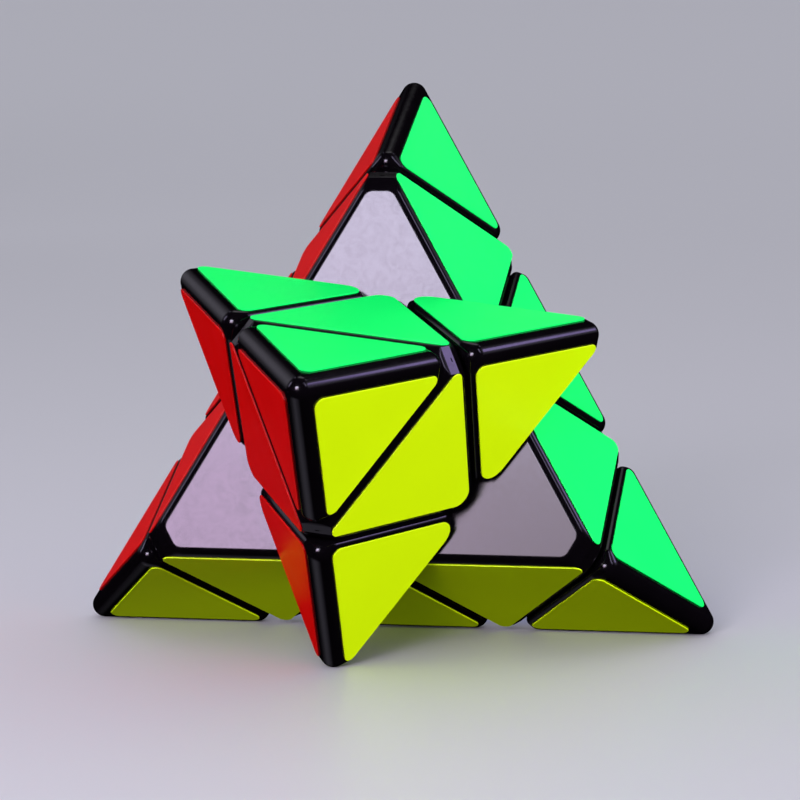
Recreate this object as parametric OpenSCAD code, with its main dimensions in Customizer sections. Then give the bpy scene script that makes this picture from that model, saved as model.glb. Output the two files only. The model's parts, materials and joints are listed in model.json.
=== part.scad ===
// Pyramid twisty puzzle: a regular four-sided pyramid cut by planes into four corner
// tips, four centre pieces and six edge pieces. Every centre piece is held by a sprung
// screw to one arm of a four-armed core, every edge piece hooks a foot under its two
// centre pieces, and every tip snaps on a short plug into its centre piece.
// The front layer stands part way through a turn, so the puzzle rests on one long edge
// and on one corner of that layer.

/* [Pyramid] */
// Length of a sharp edge of the solved pyramid
edge_len = 98; // [92:1:104]
// Radius on the outer edges and corners of every piece
round_r = 1.85; // [1.4:0.05:2.1]
// Radius on the edges of tips and edge pieces that run along a cut
cut_r = 0.9; // [0.6:0.05:0.95]
// Number of narrow flats that make up one rounded edge
round_steps = 3; // [1:1:5]
// Clearance between neighbouring pieces
gap = 0.3; // [0.2:0.05:0.4]
// Depth to which the corners of a centre piece are cut off
notch = 3; // [2.6:0.1:3.2]
// Turn of the front layer away from the solved position, in degrees
front_turn = 53; // [45:1:70]

/* [Shells] */
// Wall thickness of the outer shells
wall = 1.5; // [1.2:0.1:1.8]
// Radius of the peg that locks an edge shell on its foot
peg_r = 2; // [1.6:0.1:2.2]
// Radial clearance of the peg in its socket
peg_play = 0.05; // [0.03:0.01:0.1]

/* [Stickers] */
// Thickness of the stickers
sticker_t = 0.2; // [0.1:0.05:0.3]
// Distance from a sticker to the sharp outer edge beside it
edge_margin = 3.06; // [2.8:0.05:3.4]
// Distance from a sticker to the cut beside it
cut_margin = 1.2; // [1.1:0.05:1.5]
// Radius on the sticker corners at the outer edges
sticker_r = 1.1; // [0.6:0.1:1.4]
// Radius on the sticker corner at the middle of a face
middle_r = 2.6; // [1.5:0.1:3]

/* [Core and fasteners] */
// Radius of the ball at the middle of the core
core_r = 8.9; // [8.7:0.1:9]
// Radius of the four arms of the core
arm_r = 3.5; // [3.3:0.1:3.6]
// Distance from the middle of the core to the end of an arm
arm_end = 15.6; // [15:0.1:15.8]
// Radius of the screw shafts
screw_r = 1.5; // [1.3:0.1:1.6]
// Radius of the screw heads and washers
head_r = 3.3; // [3:0.1:3.5]
// Radius of the spring wire
wire_r = 0.35; // [0.3:0.05:0.4]
// Turns of each spring
spring_turns = 5; // [4:1:6]

/* [Mechanism] */
// Inner radius of the feet under the edge pieces
foot_in = 9.1; // [9.1:0.1:9.3]
// Outer radius of the feet under the edge pieces
foot_out = 13.3; // [13.2:0.1:13.4]
// Radius of the round dish under each centre piece
dish_r = 13.7; // [13.6:0.1:13.9]
// Half angle that a foot spans from one centre piece to the other
foot_side = 12.4; // [10:0.1:12.4]
// Half angle that a foot spans along its length
foot_end = 28; // [20:1:28]
// Bore of the hub that runs on an arm of the core
hub_bore = 3.6; // [3.6:0.05:3.75]
// Outer radius of the hub and of the well above it
hub_r = 5.35; // [5.2:0.05:5.4]
// Bore of the well that holds the spring
well_r = 4; // [3.8:0.1:4.1]
// Radius of the plug under a tip
plug_r = 5.5; // [5.4:0.05:5.55]
// Radial clearance of the plug in its socket
plug_play = 0.1; // [0.08:0.01:0.15]

/* [Hidden] */
$fn = 48;

// The four corners. The front one is along +Z of the pyramid's own frame.
FRONT = 0;
TOP = 1;
LEFT = 2;
RIGHT = 3;
CORNERS = [FRONT, TOP, LEFT, RIGHT];
BACK_CORNERS = [TOP, LEFT, RIGHT];
corner_angle = acos(-1 / 3);
corner_turn = [0, 90, 210, 330];
function corner(k) = k == FRONT ? [0, 0, 1]
    : [sin(corner_angle) * cos(corner_turn[k]), sin(corner_angle) * sin(corner_turn[k]), -1 / 3];

// Distances from the centre of the regular pyramid
face_dist = edge_len * sqrt(6) / 12;
corner_dist = 3 * face_dist;
edge_dist = edge_len * sqrt(2) / 4;
layer_cut = face_dist / 3;
tip_cut = layer_cut * 5;
cell_face = layer_cut;
eight_face = 2 * layer_cut;
half_gap = gap / 2;
far = edge_len / 2;

function unit(v) = v / norm(v);
function total(list, i = 0) = i >= len(list) ? 0 : list[i] + total(list, i + 1);
function others(list, away) = [for (k = list) if (len(search(k, away)) == 0) k];
function outward(a, b) = unit(corner(a) + corner(b));

// Where the puzzle rests: the floor touches the rounded edge between the left and right
// corners and the rounded end of the front left edge piece, both of radius round_r.
rest_edge = outward(LEFT, RIGHT) * (edge_dist - round_r * sqrt(3));
rest_end = (corner(FRONT) + corner(LEFT)) * cell_face * 3
    + corner(LEFT) * (3 * cell_face - half_gap - 3 * round_r);
rest_end_y = norm([rest_end.x, rest_end.y]) * sin(corner_turn[LEFT] + front_turn);
tilt = atan((rest_edge.y - rest_end_y) / (rest_end.z - rest_edge.z));
function height_of(p) = p.y * cos(tilt) + p.z * sin(tilt);
function depth_of(p) = p.y * sin(tilt) - p.z * cos(tilt);
floor_z = height_of(rest_edge) - round_r;
front_y = depth_of(corner(FRONT) * (corner_dist - 3 * round_r)) - round_r;
back_y = depth_of(corner(TOP) * (corner_dist - 3 * round_r)) + round_r;

// Turns children so that their +Z points along v
module toward(v) {
    rotate([0, acos(v.z / norm(v)), atan2(v.y, v.x)]) children();
}

// The half of space on the near side of a plane with normal n at distance h
module below(n, h) {
    toward(n) translate([-far, -far, h - 2 * far]) cube(2 * far);
}

// Plane that touches a rounding of radius r, a share of the way from one face to the next
function between(n1, n2, h1, h2, share, r) =
    let (angle = acos(n1 * n2), a = sin((1 - share) * angle) / sin(angle),
         b = sin(share * angle) / sin(angle))
    [a * n1 + b * n2, a * (h1 - r) + b * (h2 - r) + r];
function edge_planes(n, h, pairs, r) = [
    for (p = pairs, s = [1:round_steps])
        between(n[p[0]], n[p[1]], h[p[0]], h[p[1]], s / (round_steps + 1), r)
];
function touching(n, least) = [
    for (i = [0:len(n) - 1], j = [0:len(n) - 1]) if (j > i && n[i] * n[j] > least) [i, j]
];

// A body bounded by planes, each given as a normal and a distance
module bounded(planes) {
    intersection_for (p = planes) below(p[0], p[1]);
}

// Tetrahedral body of a tip or an edge piece about its own middle. The faces opposite
// the corners in cuts lie on cuts, and sharp lists the pairs that stay unrounded.
function cell_normals() = [for (k = CORNERS) -corner(k)];
function is_cut(k, cuts) = len(search(k, cuts)) > 0;
function cell_heights(cuts) =
    [for (k = CORNERS) cell_face - (is_cut(k, cuts) ? half_gap : 0)];
module cell(cuts, sharp = []) {
    n = cell_normals();
    h = cell_heights(cuts);
    pairs = [for (p = touching(n, -1)) if (p != sharp) p];
    outer = [for (p = pairs) if (!is_cut(p[0], cuts) && !is_cut(p[1], cuts)) p];
    along_cut = [for (p = pairs) if (is_cut(p[0], cuts) || is_cut(p[1], cuts)) p];
    faces = [for (k = CORNERS) [n[k], h[k]]];
    ends = [for (k = CORNERS) [corner(k), total(h) - h[k] - 2 * round_r]];
    rounding = concat(edge_planes(n, h, outer, round_r), edge_planes(n, h, along_cut, cut_r));
    bounded(concat(faces, rounding, ends));
}

// Space inside the outer walls of a tip or an edge piece, open through its cuts
module cell_inside(cuts) {
    bounded([for (k = others(CORNERS, cuts)) [-corner(k), cell_face - wall]]);
}

// Middle of the tetrahedral cell of an edge piece
function edge_middle(a, b) = (corner(a) + corner(b)) * 3 * cell_face;

// Octahedral body of the front centre piece, with its six corners cut off
function eight_normals() = concat([corner(FRONT), -corner(FRONT)],
    [for (k = BACK_CORNERS) -corner(k)], [for (k = BACK_CORNERS) corner(k)]);
function eight_heights() = [
    eight_face - half_gap, eight_face - half_gap, eight_face, eight_face, eight_face,
    eight_face - half_gap, eight_face - half_gap, eight_face - half_gap
];
module eight() {
    n = eight_normals();
    h = eight_heights();
    cut_h = edge_dist * 2 / 3 - notch;
    faces = [for (i = [0:len(n) - 1]) [n[i], h[i]]];
    ends = [for (k = BACK_CORNERS, side = [-1, 1]) [side * outward(FRONT, k), cut_h]];
    translate([0, 0, face_dist]) bounded(concat(faces, edge_planes(n, h, touching(n, 0), round_r), ends));
}

// Space inside the walls of a centre piece, open through its cut towards the core
module eight_inside() {
    n = eight_normals();
    h = eight_heights();
    translate([0, 0, face_dist])
        bounded([for (i = [0:len(n) - 1]) if (i != 1) [n[i], h[i] - wall]]);
}

// Centre pieces and tips are drawn at the front corner, along +Z.
// Outer shell of a centre piece: six walls and the socket that takes the plug of the tip
socket_r = plug_r + plug_play;
groove_r = socket_r + 0.3;
socket_low = tip_cut - 5.4;
snap_mid = tip_cut - 2.3;
snap_half = 0.5;
module centre_shell() {
    difference() {
        union() {
            difference() {
                eight();
                eight_inside();
            }
            intersection() {
                eight();
                translate([0, 0, socket_low]) cylinder(r = groove_r + 1, h = tip_cut - socket_low);
            }
        }
        ball(dish_r);
        translate([0, 0, socket_low - 1]) cylinder(r = socket_r, h = tip_cut - socket_low + 2);
        translate([0, 0, snap_mid - snap_half]) cylinder(r = groove_r, h = 2 * snap_half);
    }
}

// Base of a centre piece: a dome over the feet, the hub that runs on the core's arm, the
// shelf that the spring presses on, and the well for the spring and the screw head
dome_r = dish_r + wall;
hub_low = core_r + 0.3;
shelf_low = 16;
shelf_top = 18;
screw_play = 0.4;
well_top = tip_cut - 4;
module centre_base() {
    difference() {
        union() {
            dome();
            translate([0, 0, hub_low]) cylinder(r = hub_r, h = well_top - hub_low);
        }
        cylinder(r = hub_bore, h = shelf_low);
        cylinder(r = screw_r + screw_play, h = tip_cut);
        translate([0, 0, shelf_top]) cylinder(r = well_r, h = tip_cut);
    }
}
module dome() {
    difference() {
        intersection() {
            eight();
            eight_inside();
            union() {
                ball(dome_r);
                below([0, 0, 1], layer_cut + half_gap + wall);
            }
        }
        ball(dish_r);
    }
}
// Ball with its poles to the sides, so that no pole lies on the axis of the corner
module ball(r) {
    rotate([90, 0, 0]) sphere(r = r);
}

// Hollow cap of a tip, open towards its centre piece
tip_middle = 6 * cell_face;
module tip_cap() {
    translate([0, 0, tip_middle]) difference() {
        cell([FRONT]);
        cell_inside([FRONT]);
    }
}

// Plate that closes a tip cap, with the hollow plug and its snap bead
plug_bore = plug_r - 1.3;
plug_low = tip_cut - 3.8;
plate_top = tip_cut + half_gap + wall;
module tip_base() {
    intersection() {
        translate([0, 0, tip_middle]) intersection() {
            cell([FRONT]);
            cell_inside([FRONT]);
        }
        below([0, 0, 1], plate_top);
    }
    rotate_extrude() polygon([
        [plug_bore, plug_low], [plug_r, plug_low],
        [plug_r, snap_mid - snap_half / 2], [plug_r + 0.25, snap_mid],
        [plug_r, snap_mid + snap_half / 2], [plug_r, tip_cut + half_gap],
        [plug_bore, tip_cut + half_gap],
    ]);
}

// Outer shell of an edge piece: its two outer walls and the peg that locks it
peg_low = 18;
boss_r = peg_r + 1.4;
boss_top = 25;
module edge_shell(a, b) {
    translate(edge_middle(a, b)) difference() {
        cell([a, b], [a, b]);
        cell_inside([a, b]);
    }
    intersection() {
        toward(outward(a, b)) translate([0, 0, peg_low]) cylinder(r = peg_r, h = far);
        translate(edge_middle(a, b)) cell([a, b], [a, b]);
    }
}

// Foot of an edge piece: its two inner walls, the socket for the peg, and the curved
// foot that hooks under both centre pieces
module edge_foot(a, b) {
    difference() {
        union() {
            translate(edge_middle(a, b)) difference() {
                intersection() {
                    cell([a, b], [a, b]);
                    cell_inside([a, b]);
                }
                bounded([for (k = [a, b]) [-corner(k), cell_face - half_gap - wall]]);
            }
            intersection() {
                translate(edge_middle(a, b)) cell([a, b], [a, b]);
                toward(outward(a, b)) cylinder(r = boss_r, h = boss_top);
            }
            hook(a, b);
        }
        toward(outward(a, b)) translate([0, 0, peg_low - 0.5])
            cylinder(r = peg_r + peg_play, h = far);
    }
}

// Curved foot: a piece of a thick ball shell, with all its sides pointing at the middle
// of the core, so that it stays inside the cones of both its layers
module hook(a, b) {
    mid = outward(a, b);
    across = unit(corner(b) - corner(a));
    length = cross(mid, across);
    sides = [for (side = [-1, 1]) [side * cos(foot_side) * across - sin(foot_side) * mid, 0]];
    ends = [for (side = [-1, 1]) [side * cos(foot_end) * length - sin(foot_end) * mid, 0]];
    intersection() {
        difference() {
            sphere(r = foot_out);
            sphere(r = foot_in);
        }
        bounded(concat(sides, ends));
    }
}

// Rounded corner of an outline: p is the sharp corner between directions u and v
function corner_arc(p, u, v, r, steps = 6) =
    let (half = acos(u * v) / 2, mid = p + unit(u + v) * r / sin(half),
         from = atan2(-unit(u + v).y, -unit(u + v).x), sweep = 90 - half)
    [for (i = [-steps:steps]) mid + r * [cos(from + sweep * i / steps), sin(from + sweep * i / steps)]];

// Sticker outline: an equilateral triangle with one outer edge or none along its base.
// margins are the distances from the base and from the two other sides, radii the corners.
module sticker(margins, radii) {
    side = edge_len / 3;
    n = [[0, 1], [-sqrt(3) / 2, -1 / 2], [sqrt(3) / 2, -1 / 2]];
    d = [margins[0], margins[1] - side * sqrt(3) / 2, margins[2]];
    sharp = [meet(n[2], d[2], n[0], d[0]), meet(n[0], d[0], n[1], d[1]), meet(n[1], d[1], n[2], d[2])];
    along = [for (i = [0:2]) unit(sharp[(i + 1) % 3] - sharp[i])];
    linear_extrude(sticker_t) polygon([
        for (i = [0:2]) for (q = corner_arc(sharp[i], along[i], -along[(i + 2) % 3], radii[i])) q
    ]);
}
function meet(n1, d1, n2, d2) =
    let (det = n1.x * n2.y - n1.y * n2.x)
    [(d1 * n2.y - d2 * n1.y) / det, (n1.x * d2 - n2.x * d1) / det];

// Puts a sticker drawn from p towards q on the face opposite corner away, where the
// triangle lies to the left of that line as seen from outside
module on_face(away, p, q) {
    z = -corner(away);
    x = unit(q - p);
    y = cross(z, x);
    multmatrix([[x.x, y.x, z.x, p.x], [x.y, y.y, z.y, p.y], [x.z, y.z, z.z, p.z]]) children();
}
function third(a, b) = (2 * corner(a) + corner(b)) * corner_dist / 3;
// True if that face lies to the left of the line from corner a to corner b
function on_left(away, a, b) = cross(corner(b) - corner(a), -corner(away)) * corner(a) > 0;

// Sticker of tip a on the face opposite away, between the edges towards b and c
module tip_sticker(a, away) {
    rest = others(CORNERS, [a, away]);
    b = on_left(away, a, rest[0]) ? rest[0] : rest[1];
    c = on_left(away, a, rest[0]) ? rest[1] : rest[0];
    on_face(away, corner(a) * corner_dist, third(a, b))
        sticker([edge_margin, cut_margin, edge_margin], [sticker_r, sticker_r, sticker_r]);
}

// Sticker of the edge piece between a and b
module edge_sticker(a, b, away) {
    p = on_left(away, a, b) ? third(a, b) : third(b, a);
    q = on_left(away, a, b) ? third(b, a) : third(a, b);
    on_face(away, p, q)
        sticker([edge_margin, cut_margin, cut_margin], [sticker_r, sticker_r, middle_r]);
}

// Sticker of the centre piece at a: its base lies on the cut of the tip
module centre_sticker(a, away) {
    rest = others(CORNERS, [a, away]);
    b = on_left(away, a, rest[0]) ? rest[1] : rest[0];
    c = on_left(away, a, rest[0]) ? rest[0] : rest[1];
    on_face(away, third(a, b), third(a, c))
        sticker([cut_margin, cut_margin, cut_margin], [sticker_r, sticker_r, middle_r * 0.7]);
}

// Core: a ball with four arms, each drilled for its screw
arm_low = 5.5;
screw_low = 6;
module core() {
    color("dimgray") in_place() difference() {
        union() {
            sphere(r = core_r);
            for (k = CORNERS) toward(corner(k)) translate([0, 0, arm_low])
                cylinder(r = arm_r, h = arm_end - arm_low);
        }
        for (k = CORNERS) toward(corner(k)) translate([0, 0, screw_low])
            cylinder(r = screw_r, h = arm_end);
    }
}

// Screws with flat heads and crossed slots
washer_low = 26;
washer_t = 0.6;
head_t = 2.2;
slot_w = 0.9;
slot_depth = 1.2;
module tension_screws() {
    head_low = washer_low + washer_t;
    color("silver") in_place() for (k = CORNERS) toward(corner(k)) difference() {
        union() {
            translate([0, 0, screw_low]) cylinder(r = screw_r, h = head_low - screw_low);
            translate([0, 0, head_low]) cylinder(r = head_r, h = head_t);
        }
        for (turn = [0, 90]) rotate([0, 0, turn])
            translate([-head_r * 0.65, -slot_w / 2, head_low + head_t - slot_depth])
                cube([head_r * 1.3, slot_w, slot_depth + 1]);
    }
}

// Springs: a round wire wound between the shelf of the centre piece and the washer
spring_r = 2.7;
spring_steps = 12;
wire_sides = 6;
module tension_springs() {
    color("lightgray") in_place() for (k = CORNERS) toward(corner(k)) spring();
}
module spring() {
    low = shelf_top + 0.1 + wire_r;
    rise = washer_low - wire_r - low;
    rings = spring_turns * spring_steps;
    points = [for (i = [0:rings], j = [0:wire_sides - 1])
        let (a = 360 * i / spring_steps, b = 360 * j / wire_sides, r = spring_r + wire_r * cos(b))
        [r * cos(a), r * sin(a), low + rise * i / rings + wire_r * sin(b)]];
    skin = [for (i = [0:rings - 1], j = [0:wire_sides - 1])
        let (p = i * wire_sides, n = (j + 1) % wire_sides)
        [p + j, p + n, p + n + wire_sides, p + j + wire_sides]];
    start = [for (j = [wire_sides - 1:-1:0]) j];
    end = [for (j = [0:wire_sides - 1]) rings * wire_sides + j];
    polyhedron(points, concat(skin, [start, end]));
}

// Flat washers under the screw heads
module spring_washers() {
    color("gray") in_place() for (k = CORNERS) toward(corner(k)) translate([0, 0, washer_low])
        difference() {
            cylinder(r = head_r, h = washer_t);
            translate([0, 0, -1]) cylinder(r = screw_r, h = washer_t + 2);
        }
}

// From the pyramid's own frame to the frame of the standing puzzle
module in_place() {
    translate([0, -(front_y + back_y) / 2, -floor_z]) rotate([90 - tilt, 0, 0]) children();
}
// The same for what turns with the front layer
module in_layer() {
    in_place() rotate([0, 0, front_turn]) children();
}
module black() {
    color([0.03, 0.03, 0.035]) children();
}
// Puts a centre piece or a tip at its corner; half a turn about the line between two
// corners swaps them
module placed(a) {
    if (a == FRONT) in_layer() children();
    else in_place() rotate(180, v = outward(FRONT, a)) children();
}

// Stickers of the front layer or of the still layers on the face opposite away
module front_stickers(away) {
    in_layer() {
        centre_sticker(FRONT, away);
        for (k = others(BACK_CORNERS, [away])) edge_sticker(FRONT, k, away);
    }
}
module back_stickers(away) {
    corners = others(BACK_CORNERS, [away]);
    in_place() {
        for (k = corners) centre_sticker(k, away);
        for (i = [0:len(corners) - 1], j = [0:len(corners) - 1])
            if (j > i) edge_sticker(corners[i], corners[j], away);
    }
}
GREEN_AWAY = LEFT;
RED_AWAY = RIGHT;
YELLOW_AWAY = TOP;
BLUE_AWAY = FRONT;
green = [0, 0.85, 0.25];
red = [0.75, 0.02, 0.03];
yellow = [0.85, 0.95, 0.02];
blue = [0.02, 0.15, 0.75];

core();
tension_screws();
tension_springs();
spring_washers();
black() placed(FRONT) centre_shell();  // front_centre_shell
black() placed(TOP) centre_shell();  // top_centre_shell
black() placed(LEFT) centre_shell();  // left_centre_shell
black() placed(RIGHT) centre_shell();  // right_centre_shell
black() placed(FRONT) centre_base();  // front_centre_base
black() placed(TOP) centre_base();  // top_centre_base
black() placed(LEFT) centre_base();  // left_centre_base
black() placed(RIGHT) centre_base();  // right_centre_base
black() placed(FRONT) tip_cap();  // front_tip_cap
black() placed(TOP) tip_cap();  // top_tip_cap
black() placed(LEFT) tip_cap();  // left_tip_cap
black() placed(RIGHT) tip_cap();  // right_tip_cap
black() placed(FRONT) tip_base();  // front_tip_base
black() placed(TOP) tip_base();  // top_tip_base
black() placed(LEFT) tip_base();  // left_tip_base
black() placed(RIGHT) tip_base();  // right_tip_base
black() in_layer() edge_shell(FRONT, TOP);  // front_top_edge_shell
black() in_layer() edge_shell(FRONT, LEFT);  // front_left_edge_shell
black() in_layer() edge_shell(FRONT, RIGHT);  // front_right_edge_shell
black() in_place() edge_shell(TOP, LEFT);  // top_left_edge_shell
black() in_place() edge_shell(TOP, RIGHT);  // top_right_edge_shell
black() in_place() edge_shell(LEFT, RIGHT);  // left_right_edge_shell
black() in_layer() edge_foot(FRONT, TOP);  // front_top_edge_foot
black() in_layer() edge_foot(FRONT, LEFT);  // front_left_edge_foot
black() in_layer() edge_foot(FRONT, RIGHT);  // front_right_edge_foot
black() in_place() edge_foot(TOP, LEFT);  // top_left_edge_foot
black() in_place() edge_foot(TOP, RIGHT);  // top_right_edge_foot
black() in_place() edge_foot(LEFT, RIGHT);  // left_right_edge_foot
color(green) in_layer() tip_sticker(FRONT, GREEN_AWAY);  // front_tip_green_sticker
color(red) in_layer() tip_sticker(FRONT, RED_AWAY);  // front_tip_red_sticker
color(yellow) in_layer() tip_sticker(FRONT, YELLOW_AWAY);  // front_tip_yellow_sticker
color(green) in_place() tip_sticker(TOP, GREEN_AWAY);  // top_tip_green_sticker
color(red) in_place() tip_sticker(TOP, RED_AWAY);  // top_tip_red_sticker
color(blue) in_place() tip_sticker(TOP, BLUE_AWAY);  // top_tip_blue_sticker
color(red) in_place() tip_sticker(LEFT, RED_AWAY);  // left_tip_red_sticker
color(yellow) in_place() tip_sticker(LEFT, YELLOW_AWAY);  // left_tip_yellow_sticker
color(blue) in_place() tip_sticker(LEFT, BLUE_AWAY);  // left_tip_blue_sticker
color(green) in_place() tip_sticker(RIGHT, GREEN_AWAY);  // right_tip_green_sticker
color(yellow) in_place() tip_sticker(RIGHT, YELLOW_AWAY);  // right_tip_yellow_sticker
color(blue) in_place() tip_sticker(RIGHT, BLUE_AWAY);  // right_tip_blue_sticker
color(green) front_stickers(GREEN_AWAY);  // front_layer_green_stickers
color(red) front_stickers(RED_AWAY);  // front_layer_red_stickers
color(yellow) front_stickers(YELLOW_AWAY);  // front_layer_yellow_stickers
color(green) back_stickers(GREEN_AWAY);  // back_layer_green_stickers
color(red) back_stickers(RED_AWAY);  // back_layer_red_stickers
color(yellow) back_stickers(YELLOW_AWAY);  // back_layer_yellow_stickers
color(blue) back_stickers(BLUE_AWAY);  // back_layer_blue_stickers
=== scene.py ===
# Shells, stickers, springs and screws of a pyramid twisty puzzle, made round its CAD frame.
# Every kind of moulding is made once at a home place, with the front corner along +Z, and
# is then stood at each corner or edge of the puzzle that has one.
import json
import math
from itertools import combinations

import bmesh
import bpy
from bpy.props import FloatProperty, FloatVectorProperty, IntProperty, PointerProperty
from mathutils import Matrix, Vector


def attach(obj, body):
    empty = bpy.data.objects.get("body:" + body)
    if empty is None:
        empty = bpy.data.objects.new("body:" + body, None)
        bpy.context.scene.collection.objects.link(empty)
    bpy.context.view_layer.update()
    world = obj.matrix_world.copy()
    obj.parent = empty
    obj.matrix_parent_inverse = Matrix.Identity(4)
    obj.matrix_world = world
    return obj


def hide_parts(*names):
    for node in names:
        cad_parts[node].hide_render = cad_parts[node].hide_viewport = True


bl_info = {
    "name": "Pyramid twisty puzzle",
    "version": (1, 0, 0),
    "blender": (4, 5, 0),
    "location": "View3D > Sidebar > Puzzle",
    "description": "Makes the mouldings, stickers and fasteners of a pyramid puzzle",
    "category": "Object",
}

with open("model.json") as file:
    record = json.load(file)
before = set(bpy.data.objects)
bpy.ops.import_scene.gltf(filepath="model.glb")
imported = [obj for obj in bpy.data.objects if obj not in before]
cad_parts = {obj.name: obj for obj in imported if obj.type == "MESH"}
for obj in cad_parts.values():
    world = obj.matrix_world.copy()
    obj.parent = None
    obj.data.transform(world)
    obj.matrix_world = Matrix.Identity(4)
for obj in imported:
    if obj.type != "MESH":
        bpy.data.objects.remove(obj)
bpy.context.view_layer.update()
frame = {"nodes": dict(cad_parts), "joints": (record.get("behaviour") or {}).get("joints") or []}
MM = 0.001
# Points and planes closer than this count as one
CLOSE = 1e-6
MERGE = 1e-7
# Faces that meet at less than this are one flat face
FLAT_ANGLE = math.radians(0.03)
# How far a cutting shape reaches past the face that it opens
BEYOND = 1 * MM
# Sockets of a Mix node when it mixes vectors
VECTOR_A = 4
VECTOR_B = 5
VECTOR_RESULT = 1
JOINTS = {joint["name"]: joint for joint in frame["joints"]}
MIDDLE = Vector(JOINTS["front_layer_turn"]["pos_m"])
CORNERS = ("front", "top", "left", "right")
AXES = {name: Vector(JOINTS[f"{name}_tip_turn"]["axis"]).normalized() for name in CORNERS}

# The home place: the front corner along +Z and the top corner in the YZ plane
CORNER_ANGLE = math.acos(-1 / 3)
HOME = {"front": Vector((0, 0, 1))}
for name, turn in (("top", 90), ("left", 210), ("right", 330)):
    HOME[name] = Matrix.Rotation(math.radians(turn), 3, "Z") @ Vector(
        (math.sin(CORNER_ANGLE), 0, math.cos(CORNER_ANGLE))
    )
UP = HOME["front"]
EDGES = tuple(combinations(CORNERS, 2))
# Planes of a centre piece in the order of Pyramid.centre_planes: those that face away from
# a corner, and the cut towards the tip
SKINS = (0, 2, 4, 6)
TIP_CUT = 1
AWAY = {"green": "left", "red": "right", "yellow": "top", "blue": "front"}


def linear(hex_colour):
    """Linear RGB of an sRGB hex colour."""
    parts = [int(hex_colour[i : i + 2], 16) / 255 for i in (0, 2, 4)]
    return tuple(c / 12.92 if c <= 0.04045 else ((c + 0.055) / 1.055) ** 2.4 for c in parts)


def length(name, description, millimetres):
    """A length property of the sidebar, with its default in millimetres."""
    return FloatProperty(
        name=name, description=description, default=millimetres * MM, min=0,
        precision=5, subtype="DISTANCE", unit="LENGTH",
    )


def colour(name, description, hex_colour):
    """A colour property of the sidebar."""
    return FloatVectorProperty(
        name=name, description=description, default=linear(hex_colour), size=3,
        min=0, max=1, subtype="COLOR",
    )


class PuzzleSizes(bpy.types.PropertyGroup):
    """Sizes of the mouldings."""

    edge: length("Edge", "Sharp edge of the solved pyramid", 98)
    rounding: length("Rounding", "Radius on the outer edges of tips and edge pieces", 1.85)
    cut_rounding: length("Cut rounding", "Radius where a tip or an edge piece meets a cut", 0.9)
    centre_rounding: length("Centre rounding", "Radius on the edges of the centre pieces", 1.6)
    crisp: length("Crisp rounding", "Radius round the flats on a centre piece's corners", 0.4)
    slope_tip: length("Slope to the tip", "Run of a corner flat's slope into the tip's cut", 0.85)
    slope_edge: length("Slope to an edge", "Run of a corner flat's slope into a side cut", 1.45)
    corner_turn: length("Corner turn", "Radius on the corners of the flat cut faces", 0.45)
    blend: length("Blend", "Distance over which a corner's radius runs out into a cut's", 1.6)
    gap: length("Gap", "Clearance between neighbouring pieces", 0.3)
    notch: length("Notch", "Depth to which the corners of a centre piece are cut off", 3)
    wall: length("Wall", "Thickness of the outer shells", 1.5)
    turn: FloatProperty(
        name="Front turn", description="Turn of the front layer at rest",
        default=math.radians(53), subtype="ANGLE", unit="ROTATION",
    )
    steps: IntProperty(
        name="Rounding steps", description="Facets across a rounded edge", default=10, min=2, max=24
    )


class StickerSizes(bpy.types.PropertyGroup):
    """Sizes of the stickers."""

    thickness: length("Thickness", "Thickness of the vinyl", 0.2)
    edge_margin: length("Edge margin", "Distance from a sticker to the sharp outer edge", 3.06)
    cut_margin: length("Cut margin", "Distance from a sticker to the cut beside it", 1.2)
    corner: length("Corner radius", "Radius on the corners at the outer edges", 1.1)
    middle: length("Middle radius", "Radius of an edge sticker's corner at the middle of a face", 2.6)
    inner: length("Inner radius", "Radius of a centre sticker's corner at the middle of a face", 1.8)
    lip: length("Lip", "Width of the softened rim of the cut vinyl", 0.06)


class FinishColours(bpy.types.PropertyGroup):
    """Colours of the plastics and the vinyls."""

    abs: colour("ABS", "Moulded body plastic", "060407")
    sheen: colour("ABS gloss tint", "Tint of the plastic's reflections", "f4f0ff")
    nylon: colour("Nylon", "Moulded core", "3a3b3e")
    green: colour("Green vinyl", "Green stickers", "02fc6a")
    red: colour("Red vinyl", "Red stickers", "cc0305")
    yellow: colour("Yellow vinyl", "Yellow stickers", "dcff05")
    blue: colour("Blue vinyl", "Blue stickers", "0a3cd2")


class StageSizes(bpy.types.PropertyGroup):
    """Camera and light of the studio."""

    azimuth: FloatProperty(
        name="Azimuth", description="Camera angle about Z", default=math.radians(10.7976),
        subtype="ANGLE", unit="ROTATION",
    )
    elevation: FloatProperty(
        name="Elevation", description="Camera angle above the horizon",
        default=math.radians(8.6146), subtype="ANGLE", unit="ROTATION",
    )
    roll: FloatProperty(
        name="Roll", description="Camera turn about its own axis", default=math.radians(-0.6236),
        subtype="ANGLE", unit="ROTATION",
    )
    distance: length("Distance", "Camera to the middle of the puzzle", 418.2)
    lens: FloatProperty(
        name="Lens", description="Focal length in millimetres", default=132.86, unit="CAMERA"
    )
    shift_across: FloatProperty(
        name="Shift across", description="Lens shift to the right, as a share of the sensor",
        default=0.0243,
    )
    shift_up: FloatProperty(
        name="Shift up", description="Lens shift upwards, as a share of the sensor", default=0.0347
    )
    floor: length("Floor", "Width of the floor", 60000)


# ---------------------------------------------------------------- solids from planes


def corner_points(planes):
    """Corners of the convex space inside planes."""
    found = []
    for trio in combinations(range(len(planes)), 3):
        normals = Matrix([planes[i][0] for i in trio])
        if abs(normals.determinant()) < CLOSE:
            continue
        point = normals.inverted() @ Vector([planes[i][1] for i in trio])
        slack = [distance - normal.dot(point) for normal, distance in planes]
        if min(slack) < -MERGE:
            continue
        if all((point - other).length > CLOSE for other in found):
            found.append(point)
    return found


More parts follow.
